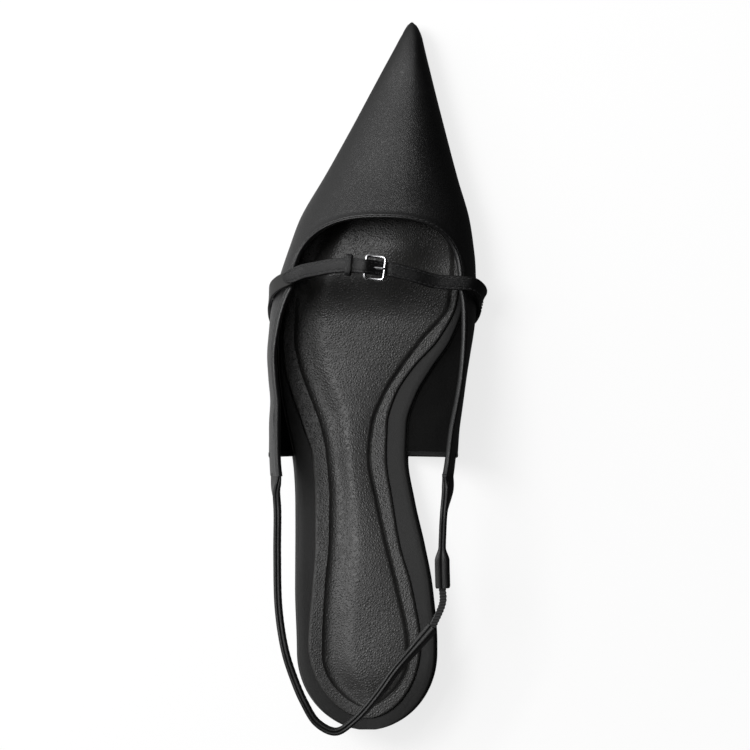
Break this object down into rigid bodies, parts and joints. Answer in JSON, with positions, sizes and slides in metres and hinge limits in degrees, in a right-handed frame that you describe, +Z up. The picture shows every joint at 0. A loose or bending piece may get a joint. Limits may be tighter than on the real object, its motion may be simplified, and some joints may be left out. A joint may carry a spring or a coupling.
{
  "type": "pointed slingback flat shoe with buckled instep strap",
  "caption": "Left pointed-toe slingback shoe with a low block heel, open heel, padded footbed and thin buckled instep strap.",
  "frame": {"origin": "middle of the heel's tread on the floor", "axes": "+Y from heel to toe, +X to the inner (big toe) side of the left foot, +Z up from the floor"},
  "size_m": [0.0835, 0.2687, 0.0562],
  "materials": {
    "sole": "matt black resin outsole",
    "heel": "black leather-covered block",
    "top_piece": "matt black",
    "insole": "smooth dark leather wrap with a light edge line",
    "footbed": "finely grained matt lining leather, padded",
    "upper_leather": "smooth black calf with a soft shine",
    "strap_leather": "smooth black calf, folded and edge-stitched",
    "elastic": "black woven elastic",
    "buckle": "polished silver metal"
  },
  "bodies": {
    "root": {"outsole": "sole", "heel": "heel", "heel_top_piece": "top_piece", "insole": "insole", "footbed": "footbed", "upper": "upper_leather", "heel_strap": "strap_leather", "quarter_strap": "strap_leather", "heel_elastic": "elastic", "instep_strap_outer": "strap_leather", "instep_strap_inner": "strap_leather", "strap_keeper": "strap_leather", "buckle_frame": "buckle", "buckle_prong": "buckle"}
  },
  "joints": []
}
